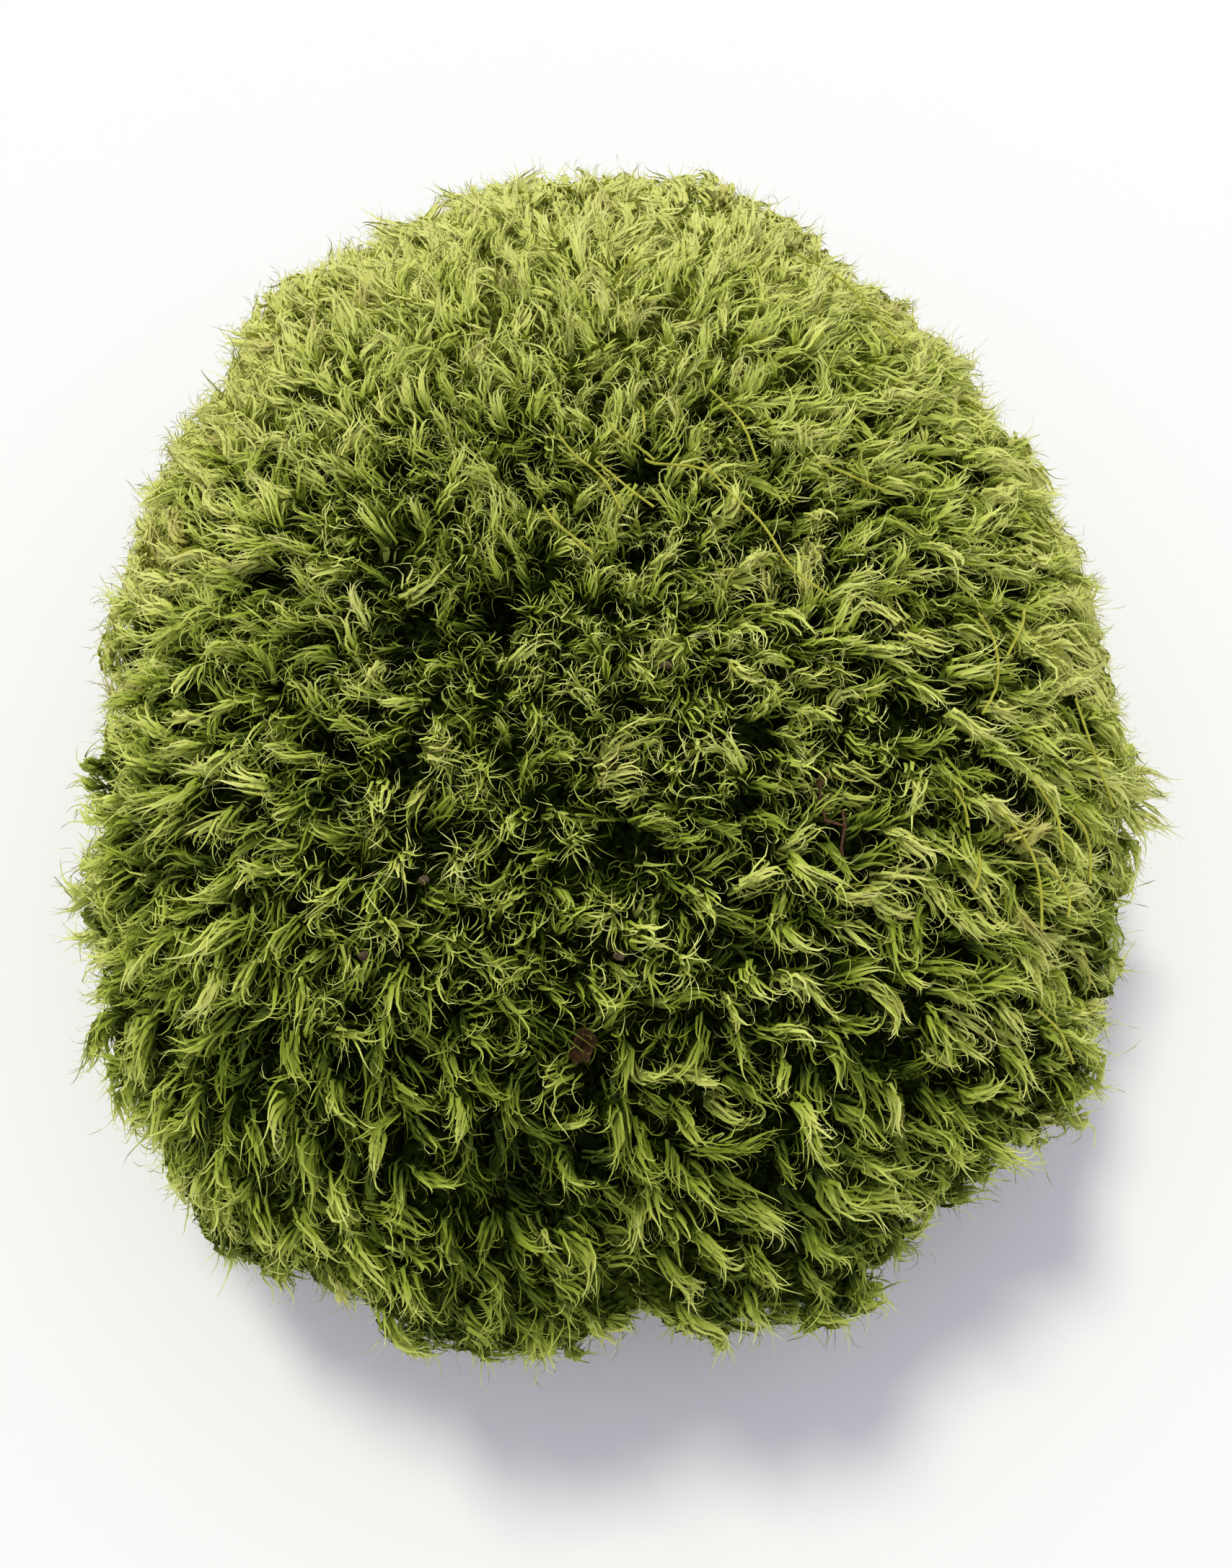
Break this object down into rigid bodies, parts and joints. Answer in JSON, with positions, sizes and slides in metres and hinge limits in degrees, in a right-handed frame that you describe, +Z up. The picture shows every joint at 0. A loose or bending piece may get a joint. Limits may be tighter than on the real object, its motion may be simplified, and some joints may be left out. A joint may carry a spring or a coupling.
{
  "type": "moss clump",
  "caption": "Rounded clump of leafy cushion moss on a flat cut base, with dry stalks, a dead leaf scrap and a dry sprig on it.",
  "frame": {"origin": "on the ground, under the middle of the clump's box", "axes": "+Z up out of the flat cut; +Y towards the longer, narrower end; +X to the right, seen from the blunt end"},
  "size_m": [0.1438, 0.181, 0.0689],
  "materials": {
    "moss": "matte",
    "straw": "satin",
    "dead_leaf": "matte",
    "twig": "matte"
  },
  "bodies": {
    "root": {"moss_cushion": "moss", "dead_leaf": "dead_leaf", "dry_sprig": "twig", "stalk_01": "straw", "stalk_02": "straw", "stalk_03": "straw", "stalk_04": "straw", "stalk_05": "straw", "stalk_06": "straw", "stalk_07": "straw", "stalk_08": "straw", "stalk_09": "straw", "stalk_10": "straw", "stalk_11": "straw", "stalk_12": "straw", "stalk_13": "straw", "stalk_14": "straw", "stalk_15": "straw", "stalk_16": "straw", "stalk_17": "straw", "stalk_18": "straw", "stalk_19": "straw", "stalk_20": "straw"}
  },
  "joints": []
}
